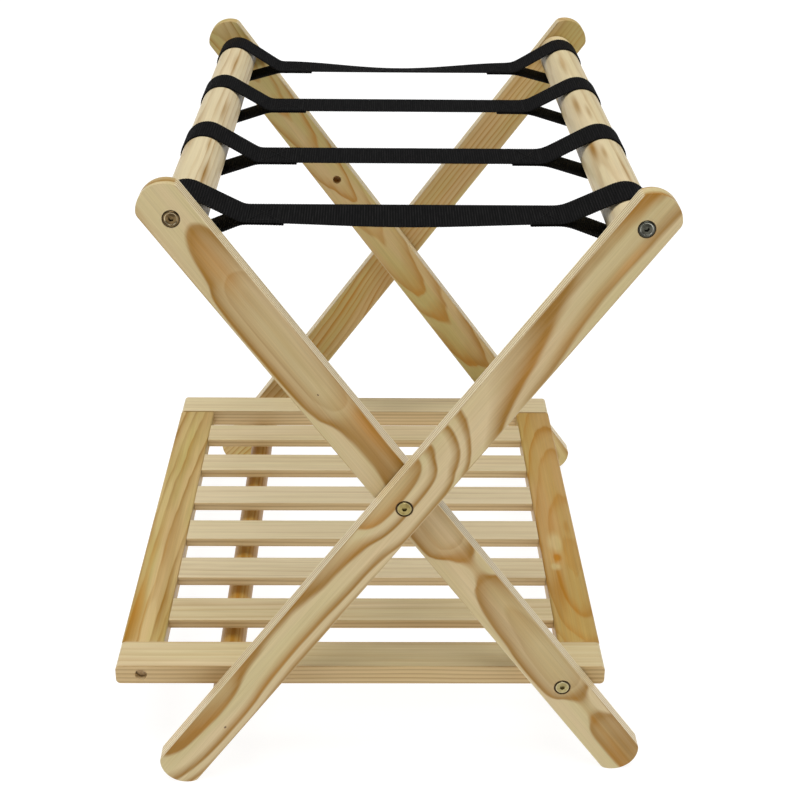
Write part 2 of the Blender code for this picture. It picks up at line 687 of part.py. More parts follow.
# ---------------------------------------------------------------- build
inner_frame()
outer_frame()
shelf()
straps()
bpy.context.view_layer.update()
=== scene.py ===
"""Looks of the folding luggage rack: its wood, metal and webbing, its light and its camera.

Metres, +Z up, the front towards -Y, the floor at Z = 0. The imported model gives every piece's place.
"""
import json
import math

import bmesh
import bpy
import numpy as np
from mathutils import Euler, Matrix, Vector


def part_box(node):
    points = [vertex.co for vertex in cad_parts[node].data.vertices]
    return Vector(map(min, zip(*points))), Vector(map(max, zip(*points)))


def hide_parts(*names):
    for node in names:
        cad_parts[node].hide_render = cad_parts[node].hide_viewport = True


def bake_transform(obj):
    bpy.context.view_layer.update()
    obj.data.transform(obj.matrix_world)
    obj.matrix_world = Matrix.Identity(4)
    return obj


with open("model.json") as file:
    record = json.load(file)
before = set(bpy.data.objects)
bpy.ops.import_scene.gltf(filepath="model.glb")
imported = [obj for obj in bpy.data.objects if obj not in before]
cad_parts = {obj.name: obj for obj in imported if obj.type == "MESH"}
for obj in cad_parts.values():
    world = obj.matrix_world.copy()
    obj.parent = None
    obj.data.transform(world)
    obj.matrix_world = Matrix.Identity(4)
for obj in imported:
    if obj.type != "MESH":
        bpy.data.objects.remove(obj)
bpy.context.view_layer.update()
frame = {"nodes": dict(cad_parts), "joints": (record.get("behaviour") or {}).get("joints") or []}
NODES = frame["nodes"]


# ---------------------------------------------------------------- places read from the frame
def middle(node):
    """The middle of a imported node's box."""
    low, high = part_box(node)
    return (Vector(low) + Vector(high)) / 2


def size(node):
    """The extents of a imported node's box."""
    low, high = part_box(node)
    return Vector(high) - Vector(low)


FOLD = next(joint for joint in frame["joints"] if joint["name"] == "fold")
PIVOT = Vector(FOLD["pos_m"])
RAIL_LEFT = middle("top_rail_left")
RAIL_RIGHT = middle("top_rail_right")
RAIL_RADIUS = size("top_rail_left").x / 2
HALF_ANGLE = math.atan2(RAIL_RIGHT.x - PIVOT.x, RAIL_RIGHT.z - PIVOT.z)


# ---------------------------------------------------------------- camera
CAMERA_FROM_PIVOT = Vector((-0.0233, -1.4198, 0.6226))
CAMERA_PITCH = math.radians(-25.36)
CAMERA_YAW = math.radians(-0.97)
CAMERA_ROLL = math.radians(-0.62)
LENS = 70.62        # focal length in millimetres
SENSOR = 36.0       # its width in millimetres
FARTHEST_SEEN = 50.0


def add_camera():
    """Stands in front, a little left of the middle, and looks down on the rack."""
    lens = bpy.data.cameras.new("camera")
    lens.lens = LENS
    lens.sensor_width = SENSOR
    lens.clip_end = FARTHEST_SEEN
    camera = bpy.data.objects.new("camera", lens)
    bpy.context.scene.collection.objects.link(camera)
    upright = Matrix.Rotation(math.radians(90), 4, "X")
    yaw = Matrix.Rotation(CAMERA_YAW, 4, "Z")
    pitch = Matrix.Rotation(CAMERA_PITCH, 4, "X")
    roll = Matrix.Rotation(CAMERA_ROLL, 4, "Y")
    place = Matrix.Translation(PIVOT + CAMERA_FROM_PIVOT)
    camera.matrix_world = place @ yaw @ pitch @ roll @ upright
    bpy.context.scene.camera = camera


# ---------------------------------------------------------------- floor and light
FLOOR_SIZE = 30.0
FLOOR_GREY = 0.20
FLOOR_GLOW = 0.90       # lifts the dark floor to white, which leaves only faint shadows
SKY_STRENGTH = 0.14


def add_floor():
    """A wide floor, lit mostly from within."""
    made = bmesh.new()
    bmesh.ops.create_grid(made, x_segments=1, y_segments=1, size=FLOOR_SIZE / 2)
    mesh = bpy.data.meshes.new("floor")
    made.to_mesh(mesh)
    made.free()
    floor = bpy.data.objects.new("floor", mesh)
    bpy.context.scene.collection.objects.link(floor)
    paint = bpy.data.materials.new("floor")
    paint.use_nodes = True
    shader = paint.node_tree.nodes["Principled BSDF"]
    shader.inputs["Base Color"].default_value = (FLOOR_GREY, FLOOR_GREY, FLOOR_GREY, 1)
    shader.inputs["Roughness"].default_value = 0.9
    shader.inputs["Specular IOR Level"].default_value = 0.0
    shader.inputs["Emission Color"].default_value = (1, 1, 1, 1)
    shader.inputs["Emission Strength"].default_value = FLOOR_GLOW
    mesh.materials.append(paint)


def add_sun(name, tilt, turn, strength, softness):
    """Even light from a wide, far source: tilt from overhead, turned round the vertical."""
    sun = bpy.data.lights.new(name, "SUN")
    sun.energy = strength
    sun.angle = math.radians(softness)
    lamp = bpy.data.objects.new(name, sun)
    lamp.rotation_euler = (math.radians(tilt), 0, math.radians(turn))
    bpy.context.scene.collection.objects.link(lamp)


def add_softbox(name, place, target, width, height, power):
    """A glowing rectangle at a place, turned to its target."""
    box = bpy.data.lights.new(name, "AREA")
    box.shape = "RECTANGLE"
    box.size = width
    box.size_y = height
    box.energy = power
    lamp = bpy.data.objects.new(name, box)
    lamp.location = place
    away = Vector(place) - Vector(target)
    lamp.rotation_euler = away.to_track_quat("Z", "Y").to_euler()
    bpy.context.scene.collection.objects.link(lamp)


def add_light():
    """White sky, a broad sun nearly overhead and a weak softbox that puts a gleam on the fronts."""
    world = bpy.data.worlds.new("studio")
    world.use_nodes = True
    sky = world.node_tree.nodes["Background"]
    sky.inputs["Color"].default_value = (1, 1, 1, 1)
    sky.inputs["Strength"].default_value = SKY_STRENGTH
    bpy.context.scene.world = world
    add_sun("overhead", tilt=6, turn=0, strength=2.9, softness=50)
    towards = (0, 0, 0.3)
    add_softbox("front_left", (-1.6, -1.8, 1.5), towards, width=1.4, height=1.4, power=4)
    bpy.context.scene.view_settings.view_transform = "Standard"


# ---------------------------------------------------------------- material tools
MIX_COLOUR_INPUTS = (0, 6, 7)       # the Mix node's factor and its two colours
MIX_COLOUR_OUTPUT = 2


class Shader:
    """A material under construction, with short calls that add and join its nodes."""

    def __init__(self, name):
        self.material = bpy.data.materials.new(name)
        self.material.use_nodes = True
        self.tree = self.material.node_tree
        self.surface = self.tree.nodes["Principled BSDF"]

    def node(self, kind, values=(), **settings):
        """A node; values are its inputs by name or number, as constants or as other sockets."""
        made = self.tree.nodes.new("ShaderNode" + kind)
        for key, value in settings.items():
            setattr(made, key, value)
        for key, value in dict(values).items():
            self.feed(made.inputs[key], value)
        return made

    def feed(self, socket, value):
        """Joins another socket to this one, or sets its constant."""
        if isinstance(value, bpy.types.NodeSocket):
            self.tree.links.new(value, socket)
        else:
            socket.default_value = value

    def math(self, operation, *values, clamp=False):
        """One step of arithmetic on sockets or constants."""
        made = self.node("Math", enumerate(values), operation=operation, use_clamp=clamp)
        return made.outputs[0]

    def length(self, a, b):
        """The length of a flat vector."""
        squares = self.math("ADD", self.math("MULTIPLY", a, a), self.math("MULTIPLY", b, b))
        return self.math("SQRT", squares)

    def place(self, location=(0, 0, 0), rotation=(0, 0, 0)):
        """The surface's own point, seen from a frame at that place and turn."""
        point = self.node("TexCoord").outputs["Object"]
        values = {"Vector": point, "Location": location, "Rotation": rotation}
        return self.node("Mapping", values, vector_type="TEXTURE").outputs[0]

    def stretch(self, vector, scale, shift=(0, 0, 0)):
        """A point scaled on each axis, then moved."""
        values = {"Vector": vector, "Scale": scale, "Location": shift}
        return self.node("Mapping", values, vector_type="POINT").outputs[0]

    def split(self, vector):
        """A vector's X, Y and Z."""
        return self.node("SeparateXYZ", {0: vector}).outputs

    def join(self, x, y, z):
        """A vector from its X, Y and Z."""
        return self.node("CombineXYZ", {0: x, 1: y, 2: z}).outputs[0]

    def noise(self, vector, detail=2.0, roughness=0.5, output=0):
        """Soft noise with one blot per unit: output 0 is a value, output 1 a colour."""
        values = {"Vector": vector, "Scale": 1.0, "Detail": detail, "Roughness": roughness}
        return self.node("TexNoise", values).outputs[output]

    def ramp(self, factor, stops):
        """Values at places from 0 to 1, given as (place, value) pairs and joined by straight lines."""
        made = self.node("ValToRGB", {0: factor})
        points = made.color_ramp.elements
        while len(points) < len(stops):
            points.new(1.0)
        for point, (at, value) in zip(points, stops):
            point.position = at
            point.color = (value, value, value, 1)
        return made.outputs[0]

    def remap(self, value, low, high, to_low=0.0, to_high=1.0, smooth=True):
        """Turns the range from low to high into another, held at its ends."""
        values = {"Value": value, 1: low, 2: high, 3: to_low, 4: to_high}
        kind = "SMOOTHSTEP" if smooth else "LINEAR"
        return self.node("MapRange", values, interpolation_type=kind).outputs[0]

    def mix(self, factor, first, second, blend="MIX"):
        """The first colour turned by a share into the second."""
        made = self.node("Mix", data_type="RGBA", blend_type=blend)
        sockets = [made.inputs[number] for number in MIX_COLOUR_INPUTS]
        for socket, value in zip(sockets, (factor, first, second)):
            if isinstance(value, tuple) and len(value) == 3:
                value = (*value, 1)
            self.feed(socket, value)
        return made.outputs[MIX_COLOUR_OUTPUT]

    def bump(self, height, strength, distance):
        """A surface normal over fine relief, its depth in metres."""
        values = {"Height": height, "Strength": strength, "Distance": distance}
        return self.node("Bump", values).outputs[0]

    def finish(self, colour, roughness, normal, **fixed):
        """Feeds the surface; the fixed values are its sockets' names with underscores."""
        self.feed(self.surface.inputs["Base Color"], colour)
        self.feed(self.surface.inputs["Roughness"], roughness)
        self.feed(self.surface.inputs["Normal"], normal)
        for key, value in fixed.items():
            self.surface.inputs[key.replace("_", " ")].default_value = value
        return self.material


# ---------------------------------------------------------------- pine
LEG_TURN = {
    "inner": (0, -HALF_ANGLE, 0),
    "outer": (0, HALF_ANGLE, 0),
}
ALONG_X = (math.radians(90), 0, math.radians(90))
ALONG_Y = (math.radians(-90), 0, 0)

EARLYWOOD = (0.630, 0.480, 0.185)
EARLYWOOD_PINK = (0.690, 0.490, 0.245)
EARLYWOOD_OLIVE = (0.560, 0.465, 0.165)
LATEWOOD = (0.345, 0.165, 0.014)
LATEWOOD_ORANGE = (0.540, 0.225, 0.016)
SAPWOOD = (0.790, 0.675, 0.450)
# the colour of knots, and of the painted shade round the bolt seats
KNOT_AND_SHADE = (0.100, 0.040, 0.014)

# blots a metre, across the board, through it and along its grain
FIBRE_GRAIN = (1000, 1000, 14)
STREAK_GRAIN = (260, 260, 3.2)
PATCH_GRAIN = (55, 55, 9)
HUE_GRAIN = (38, 38, 5)
SWAY_GRAIN = (45, 45, 14)
EDGE_GRAIN = (20, 20, 7)

# latewood through one year, from the last year's end to its own
YEAR = ((0.0, 0.6), (0.07, 0.0), (0.40, 0.06), (0.70, 0.5), (0.90, 1.0), (0.965, 1.0), (1.0, 0.6))
YEAR_ON_EDGE = ((0.0, 0.0), (0.40, 0.08), (0.70, 0.85), (0.86, 0.85), (0.95, 0.0))
EDGE_RING = 0.0042
EDGE_ROUNDING = (0.0012, 0.0003)    # where a narrow face's tone begins and is full, inside the edge
STREAKINESS = 0.42
PATCHINESS = 0.40
# how far out from a bolt's seat the painted shadow of its gap reaches
BORE_SHADOW_WIDTH = 0.0005


class Pine(Shader):
    """Clear-finished pine, cut from a virtual trunk.

    place and turn give the board's frame, its grain along its own Z. In that frame the trunk's
    heart runs beside the board: heart is its place across, and depths its distance behind the
    board's middle plane, as (along, depth) pairs in metres that a smooth curve joins.
    """

    def __init__(self, name, place, turn, seed, heart, depths, wander=0.0012):
        super().__init__(name)
        self.here = self.place(place, turn)
        self.shift = (seed * 1.7, seed * 2.3, seed * 3.1)
        self.seed = seed
        x, y, z = self.split(self.here)
        self.across, self.deep, self.along = x, y, z
        sway = self.noise(self.stretch(self.here, SWAY_GRAIN, self.shift), 2.0, 0.55, output=1)
        sway_x, sway_y, _ = self.split(sway)
        from_heart = self.sway(sway_x, wander, self.math("SUBTRACT", x, heart))
        behind = self.sway(sway_y, wander, self.math("SUBTRACT", self.curve(z, depths), y))
        self.radius = self.length(from_heart, behind)

    def sway(self, noise, amount, value):
        """A value moved by noise, up to an amount either way."""
        return self.math("MULTIPLY_ADD", self.math("SUBTRACT", noise, 0.5), 2 * amount, value)

    def curve(self, value, points):
        """A smooth curve through (place, height) pairs."""
        first, last = points[0][0], points[-1][0]
        top = max(height for _, height in points)
        share = self.remap(value, first, last, smooth=False)
        made = self.node("FloatCurve", {"Value": share})
        line = made.mapping.curves[0]
        for at in (0, 1):
            line.points[at].location = (float(at), points[-at][1] / top)
        for place, height in points[1:-1]:
            line.points.new((place - first) / (last - first), height / top)
        made.mapping.update()
        return self.math("MULTIPLY", made.outputs[0], top)

    def even_rings(self, width):
        """Latewood of even years: it comes on slowly and ends sharply."""
        years = self.math("DIVIDE", self.radius, width)
        place = self.join(self.math("MULTIPLY", years, 0.55), self.seed * 5.3, 0.0)
        years = self.math("MULTIPLY_ADD", self.noise(place, 1.0), 1.4, years)
        late = self.ramp(self.math("FRACT", years), YEAR)
        year = self.join(self.math("FLOOR", years), self.math("MULTIPLY", self.along, 4.0), self.seed)
        return self.math("MULTIPLY", late, self.remap(self.noise(year, 1.0), 0.3, 0.65, 0.3, 1.0))

    def own_rings(self, rings):
        """Latewood at the given distances from the heart, as (millimetres, strength) pairs."""
        reach = rings[-1][0] / 1000
        stops = [(radius / 1000 / reach, strength) for radius, strength in rings]
        return self.ramp(self.math("DIVIDE", self.radius, reach, clamp=True), stops)

    def spot(self, across, along, wide, long):
        """1 in the middle of an oval place on the board, 0 at its rim."""
        dx = self.math("DIVIDE", self.math("SUBTRACT", self.across, across), wide)
        dz = self.math("DIVIDE", self.math("SUBTRACT", self.along, along), long)
        return self.remap(self.length(dx, dz), 0.0, 1.0, 1.0, 0.0)

    def edged(self, colour, half, tone, strength):
        """Another tone on the two narrow faces, half the board's width out, with fine rings: on the
        legs a painted highlight, on the cross boards their own amber edge grain.
        """
        out = self.math("ABSOLUTE", self.across)
        start, full = (half - inside for inside in EDGE_ROUNDING)
        share = self.remap(out, start, full, 0.0, strength)
        place = self.stretch(self.here, EDGE_GRAIN, self.shift)
        rings = self.math("MULTIPLY_ADD", self.deep, 1 / EDGE_RING, self.noise(place, 1.0))
        late = self.ramp(self.math("FRACT", rings), YEAR_ON_EDGE)
        return self.mix(share, colour, self.mix(late, tone, LATEWOOD))

    def figure(self, late, depth, warmth, stains):
        """How dark the wood is: its rings and stains, with finer streaks and patches."""
        dark = self.math("MULTIPLY_ADD", late, depth, warmth)
        for *oval, strength in stains:
            dark = self.math("MULTIPLY_ADD", self.spot(*oval), strength, dark)
        streak = self.noise(self.stretch(self.here, STREAK_GRAIN, self.shift), 3.0, 0.55)
        dark = self.math("MULTIPLY_ADD", self.math("SUBTRACT", streak, 0.5), STREAKINESS, dark)
        patch = self.noise(self.stretch(self.here, PATCH_GRAIN, self.shift), 3.0, 0.55)
        patch = self.math("SUBTRACT", patch, 0.5)
        return self.math("MULTIPLY_ADD", patch, PATCHINESS, dark, clamp=True)

    def knotted(self, colour, knots):
        """Small dark knots, half as long again as they are wide."""
        for across, along, wide in knots:
            heart = self.spot(across, along, wide, 1.5 * wide)
            colour = self.mix(self.remap(heart, 0.2, 0.7, 0.0, 0.85), colour, KNOT_AND_SHADE)
        return colour

    def shade_bore_rims(self, colour, shaded_bores):
        """Painted shade: dark rims round the bolt holes, standing in for the shadow in the gap round
        each bolt's head.
        """
        for across, along, radius in shaded_bores:
            dx = self.math("SUBTRACT", self.across, across)
            dz = self.math("SUBTRACT", self.along, along)
            rim = self.remap(self.length(dx, dz), radius + BORE_SHADOW_WIDTH, radius, 0.0, 0.7)
            colour = self.mix(rim, colour, KNOT_AND_SHADE)
        return colour

    def wood(self, late, depth=0.8, warmth=0.0, sap=0.0, edge=None, stains=(), oranges=(), knots=(),
             shaded_bores=()):
        """Colour, fibre and finish over the rings.

        depth is the latewood's strength and warmth an even stain over the board; sap is how far
        the board is sapwood, and edge is (half the width, tone, strength) of its narrow faces.
        stains and oranges are ovals as spot() takes them, each with a strength; knots are
        (across, along, width), and each of shaded_bores is a hole with a painted shadow rim, as
        (across, along, radius).
        """
        fibre = self.noise(self.stretch(self.here, FIBRE_GRAIN, self.shift), 3.0, 0.6)
        turned = (self.shift[1], self.shift[2], self.shift[0])
        hue = self.noise(self.stretch(self.here, HUE_GRAIN, turned), 2.0, 0.5)
        base = self.mix(self.remap(hue, 0.35, 0.65), EARLYWOOD_PINK, EARLYWOOD_OLIVE)
        base = self.mix(0.35, base, EARLYWOOD)
        base = self.mix(sap, base, SAPWOOD)
        orange = self.remap(hue, 0.52, 0.70, 0.0, 0.35)
        for *oval, strength in oranges:
            orange = self.math("MULTIPLY_ADD", self.spot(*oval), strength, orange, clamp=True)
        figure = self.figure(late, depth, warmth, stains)
        colour = self.mix(figure, base, self.mix(orange, LATEWOOD, LATEWOOD_ORANGE))
        tint = self.remap(fibre, 0.25, 0.75, 0.91, 1.08, smooth=False)
        colour = self.mix(1.0, colour, self.join(tint, tint, tint), "MULTIPLY")
        colour = self.knotted(colour, knots)
        if edge:
            colour = self.edged(colour, *edge)
        # painted shade round the bolt seats, for the shadow in their gaps
        colour = self.shade_bore_rims(colour, shaded_bores)
        roughness = self.remap(fibre, 0.2, 0.8, 0.38, 0.54, smooth=False)
        height = self.math("MULTIPLY_ADD", fibre, 0.5, self.math("MULTIPLY", late, 0.3))
        fixed = {"Coat_Weight": 0.12, "Coat_Roughness": 0.3, "Specular_IOR_Level": 0.3}
        return self.finish(colour, roughness, self.bump(height, 0.35, 0.0004), **fixed)


def dress(node, material):
    """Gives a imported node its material."""
    NODES[node].data.materials.clear()
    NODES[node].data.materials.append(material)


# the legs' pale narrow faces are a painted highlight for the bright grazing reflection on them, with
# the arrises a little worn
LEG_EDGE_PAINTED_SHEEN = (0.0194, (0.93, 0.83, 0.56), 0.8)
# these gaps set where the painted shade round each bolt begins
RAIL_BOLT_GAP = 0.0005      # between a bolt's head and its seat
JOINT_BOLT_GAP = 0.0013


def leg_board(node, seed, heart, depths, wander=0.0012):
    """Pine along a leg, its own frame centred on the scissor axis."""
    place = (PIVOT.x, middle(node).y, PIVOT.z)
    return Pine(node, place, LEG_TURN[node.split("_")[0]], seed, heart, depths, wander)


def bores_on(leg, fittings):
    """Where bolts pass through a leg, in its own frame, with the radii of their seats, where the
    painted shade round them starts.
    """
    turn = Euler(LEG_TURN[leg.split("_")[0]]).to_matrix().inverted()
    found = []
    for fitting, gap in fittings:
        place = turn @ (middle(fitting) - PIVOT)
        found.append((place.x, place.z, size(fitting).x / 2 + gap))
    return found


def dress_outer_leg_front():
    """The heart comes closest near the scissor bolt, so the figure there is arched."""
    depths = (
        (-0.338, 0.0255), (-0.250, 0.0155), (-0.200, 0.0195), (-0.150, 0.0206), (-0.100, 0.0184),
        (-0.050, 0.0145), (0.0, 0.002), (0.053, 0.0184), (0.095, 0.0405), (0.130, 0.0496),
        (0.170, 0.0534), (0.210, 0.0564), (0.265, 0.0575), (0.327, 0.0562),
    )
    made = leg_board("outer_leg_front", 1, -0.022, depths)
    rings = (
        (0, 0.3), (8, 0.2), (13.0, 0.5), (18.2, 0.95), (19.0, 0.9), (20.2, 0.05), (23.0, 0.0),
        (26.0, 0.5), (28.2, 1.0), (29.0, 1.0), (30.2, 0.05), (36.5, 0.0), (39.5, 0.5),
        (41.6, 0.95), (42.4, 0.95), (43.6, 0.0), (46.3, 0.1), (48.0, 0.7), (49.5, 1.0), (50.6, 0.0),
        (57.5, 0.0), (61.0, 0.45), (64.6, 1.0), (65.6, 1.0), (67.0, 0.1), (69.0, 0.15),
        (71.5, 0.7), (72.7, 0.9), (74.2, 0.0), (90, 0.0),
    )
    late = made.own_rings(rings)
    oranges = ((0.007, 0.272, 0.006, 0.034, 0.9), (-0.012, -0.030, 0.014, 0.070, 0.6),
               (0.004, 0.180, 0.018, 0.090, 0.5), (0.008, -0.200, 0.012, 0.120, 0.35))
    knots = ((0.007, -0.265, 0.0016),)
    stains = ((-0.017, -0.275, 0.012, 0.070, 0.5),)
    fittings = (("pivot_bolt_front", JOINT_BOLT_GAP), ("rail_bolt_outer_front", RAIL_BOLT_GAP))
    shaded_bores = bores_on("outer_leg_front", fittings)
    marks = {"stains": stains, "oranges": oranges, "knots": knots, "shaded_bores": shaded_bores}
    dress("outer_leg_front", made.wood(late, 0.95, warmth=0.02, sap=0.4, edge=LEG_EDGE_PAINTED_SHEEN, **marks))


def dress_inner_leg_front():
    """The heart lies just behind the face for most of this board, so its latewood shows as islands."""
    depths = (
        (-0.338, 0.0142), (-0.300, 0.0136), (-0.278, 0.0172), (-0.262, 0.0185), (-0.240, 0.0090),
        (-0.210, 0.0018), (-0.170, 0.0055), (-0.130, 0.0105), (-0.108, 0.0145), (-0.090, 0.0185),
        (-0.075, 0.0165), (-0.060, 0.0070), (-0.045, 0.0018), (-0.010, 0.0080), (0.045, 0.0164),
        (0.075, 0.0153), (0.100, 0.0070), (0.150, 0.0), (0.200, 0.0), (0.240, 0.0105),
        (0.277, 0.0165), (0.300, 0.0215), (0.327, 0.0240),
    )
    made = leg_board("inner_leg_front", 2, 0.008, depths)
    rings = (
        (0, 0.35), (6.0, 0.40), (11.0, 0.30), (16.0, 0.55), (17.0, 0.60), (18.2, 0.40), (21.5, 0.60),
        (25.4, 1.0), (26.2, 0.95), (27.4, 0.05), (30.0, 0.0), (38.0, 0.0), (41.0, 0.35), (42.2, 0.0),
        (60, 0.0),
    )
    late = made.own_rings(rings)
    knots = ((0.0, 0.116, 0.0011),)
    stains = ((0.004, 0.235, 0.020, 0.050, 0.22), (0.008, -0.320, 0.018, 0.040, 0.25))
    oranges = ((0.013, 0.075, 0.012, 0.060, 0.7), (0.004, 0.245, 0.016, 0.050, 0.6),
               (0.0, -0.070, 0.020, 0.060, 0.4))
    fittings = (("shelf_bolt_front", JOINT_BOLT_GAP), ("rail_bolt_inner_front", RAIL_BOLT_GAP))
    shaded_bores = bores_on("inner_leg_front", fittings)
    marks = {"stains": stains, "oranges": oranges, "knots": knots, "shaded_bores": shaded_bores}
    dress("inner_leg_front", made.wood(late, 0.90, warmth=0.02, sap=0.4, edge=LEG_EDGE_PAINTED_SHEEN, **marks))


def dress_back_legs():
    """Plain boards, more orange than the front ones."""
    depths = ((-0.338, 0.058), (0.0, 0.038), (0.327, 0.016))
    made = leg_board("inner_leg_back", 3, -0.001, depths, 0.0022)
    oranges = ((0.0, 0.0, 0.040, 0.50, 0.75), (0.005, 0.20, 0.020, 0.14, 0.5))
    late = made.even_rings(0.0040)
    dress("inner_leg_back", made.wood(late, 0.85, warmth=-0.02, edge=LEG_EDGE_PAINTED_SHEEN, oranges=oranges))

    depths = ((-0.338, 0.020), (-0.150, 0.034), (-0.020, 0.022), (0.100, 0.020), (0.327, 0.018))
    made = leg_board("outer_leg_back", 4, 0.045, depths, 0.0016)
    oranges = ((0.0, 0.0, 0.045, 0.50, 0.85),)
    late = made.even_rings(0.0046)
    dress("outer_leg_back", made.wood(late, 0.75, warmth=0.12, edge=LEG_EDGE_PAINTED_SHEEN, oranges=oranges))


def lengthwise_board(node, seed, heart, depths, wander=0.0010):
    """Pine that runs from front to back, its own frame at the piece's middle."""
    return Pine(node, middle(node), ALONG_Y, seed, heart, depths, wander)


def dress_round_rails():
    """Pale top rails with dark streaks, and the redder stretcher under the shelf."""
    made = lengthwise_board("top_rail_left", 11, 0.035, ((-0.28, 0.030), (0.28, 0.036)))
    stains = ((0.011, -0.205, 0.004, 0.055, 0.6), (0.007, -0.125, 0.003, 0.040, 0.5),
              (0.010, -0.010, 0.004, 0.060, 0.5), (0.005, 0.160, 0.004, 0.070, 0.4))
    late = made.even_rings(0.0046)
    dress("top_rail_left", made.wood(late, 0.50, warmth=-0.06, sap=0.8, stains=stains))

    made = lengthwise_board("top_rail_right", 12, 0.030, ((-0.30, 0.042), (0.30, 0.034)))
    stains = ((-0.012, -0.122, 0.004, 0.050, 0.7), (-0.005, -0.145, 0.003, 0.030, 0.5),
              (-0.010, 0.015, 0.004, 0.055, 0.7), (-0.003, -0.020, 0.003, 0.040, 0.5),
              (-0.007, 0.165, 0.004, 0.060, 0.6), (0.005, -0.200, 0.004, 0.070, 0.4))
    late = made.even_rings(0.0052)
    dress("top_rail_right", made.wood(late, 0.42, warmth=-0.06, sap=0.7, stains=stains))

    made = lengthwise_board("stretcher", 13, 0.020, ((-0.30, 0.022), (0.30, 0.018)))
    dress("stretcher", made.wood(made.even_rings(0.0034), 0.55, warmth=0.70))


def dress_shelf_sides():
    """Flat-sawn boards with wide, warm figure; the right one has a small eye near the front."""
    depths = ((-0.24, 0.020), (0.0, 0.034), (0.24, 0.052))
    made = lengthwise_board("shelf_side_left", 14, 0.050, depths, 0.0022)
    stains = ((-0.013, -0.200, 0.013, 0.100, 0.7), (0.001, -0.215, 0.007, 0.060, -0.9),
              (-0.004, -0.120, 0.006, 0.070, -0.5), (0.012, -0.190, 0.010, 0.090, 0.35),
              (0.006, -0.060, 0.010, 0.100, 0.35), (-0.012, 0.010, 0.007, 0.090, -0.5))
    oranges = ((-0.008, -0.140, 0.018, 0.180, 0.7),)
    late = made.even_rings(0.0085)
    dress("shelf_side_left", made.wood(late, 0.70, warmth=0.12, stains=stains, oranges=oranges))

    depths = ((-0.24, 0.030), (-0.08, 0.014), (0.05, 0.022), (0.24, 0.040))
    made = lengthwise_board("shelf_side_right", 15, 0.012, depths, 0.0026)
    oranges = ((-0.004, -0.091, 0.012, 0.022, 0.9), (0.0, 0.0, 0.040, 0.500, 0.8))
    stains = ((-0.004, -0.091, 0.006, 0.010, 0.7), (-0.007, -0.108, 0.007, 0.010, -0.9),
              (-0.004, -0.062, 0.010, 0.028, -0.9), (-0.008, -0.150, 0.011, 0.060, 0.4))
    late = made.even_rings(0.0070)
    dress("shelf_side_right", made.wood(late, 0.42, warmth=0.44, stains=stains, oranges=oranges))


CROSSWISE_EDGE = (0.0190, (0.66, 0.450, 0.190), 0.6)
CROSSWISE_SEED = 7


def dress_crosswise_boards():
    """The shelf's slats and its front and back rails: straight grain, from all over the trunk."""
    names = ["shelf_rail_front", "shelf_rail_back"] + [f"shelf_slat_{n}" for n in range(1, 7)]
    draw = np.random.default_rng(CROSSWISE_SEED)
    for seed, node in enumerate(names, start=20):
        heart = draw.uniform(0.035, 0.055)
        left, right = draw.uniform(0.030, 0.050, 2)
        depths = ((-0.22, left), (0.22, right))
        made = Pine(node, middle(node), ALONG_X, seed, heart, depths, wander=0.0008)
        late = made.even_rings(draw.uniform(0.0060, 0.0095))
        depth, warmth, sap = draw.uniform((0.16, -0.04, 0.60), (0.36, 0.10, 0.90))
        dress(node, made.wood(late, depth, warmth=warmth, sap=sap, edge=CROSSWISE_EDGE))


# ---------------------------------------------------------------- other materials
def metal(name, colour, tarnish, roughness):
    """Plain plating with cloudy tarnish."""
    s = Shader(name)
    here = s.place()
    cloud = s.noise(s.stretch(here, (350, 350, 350)), 4.0, 0.6)
    fine = s.noise(s.stretch(here, (2500, 2500, 2500)), 2.0, 0.5)
    tone = s.mix(s.remap(cloud, 0.35, 0.7), colour, tarnish)
    rough = s.remap(cloud, 0.3, 0.7, roughness - 0.06, roughness + 0.12)
    return s.finish(tone, rough, s.bump(fine, 0.15, 0.0001), Metallic=1.0)


# width of the painted highlight ring on a bolt head
GLEAM_RING_WIDTH = 0.0006
TURNED_RINGS = 9000.0       # a metre


def bolt_metal(node, plating, tarnish, gleam_colour, radius, roughness):
    """Plating with fine turned rings round the bolt's own axis, and a painted highlight: a patchy
    bright ring at one radius, for the gleam off its edge.
    """
    s = Shader(node)
    here = s.place(middle(node))
    x, _, z = s.split(here)
    out = s.length(x, z)
    cloud = s.noise(s.stretch(here, (180, 180, 180)), 3.0, 0.55)
    turned = s.noise(s.join(s.math("MULTIPLY", out, TURNED_RINGS), 0.0, 0.0), 2.0, 0.6)
    tone = s.mix(s.remap(cloud, 0.3, 0.7), plating, tarnish)
    # painted highlight: a patchy bright ring at one radius of the head
    from_edge = s.math("ABSOLUTE", s.math("SUBTRACT", out, radius))
    on_gleam_ring = s.remap(from_edge, 0.0, GLEAM_RING_WIDTH, 0.85, 0.0)
    gleam_patches = s.math("MULTIPLY", on_gleam_ring, s.remap(cloud, 0.35, 0.6, 0.25, 1.0))
    tone = s.mix(gleam_patches, tone, gleam_colour)
    rough = s.remap(cloud, 0.3, 0.7, roughness - 0.04, roughness + 0.08)
    return s.finish(tone, rough, s.bump(turned, 0.25, 0.00008), Metallic=1.0)


def plain_wood(name, colour, dark):
    """Bare wood with fine grain along Y."""
    s = Shader(name)
    grain = s.noise(s.stretch(s.place(), (500, 12, 500)), 3.0, 0.6)
    tone = s.mix(s.remap(grain, 0.3, 0.7), colour, dark)
    return s.finish(tone, s.remap(grain, 0.3, 0.7, 0.5, 0.65), s.bump(grain, 0.2, 0.0003))


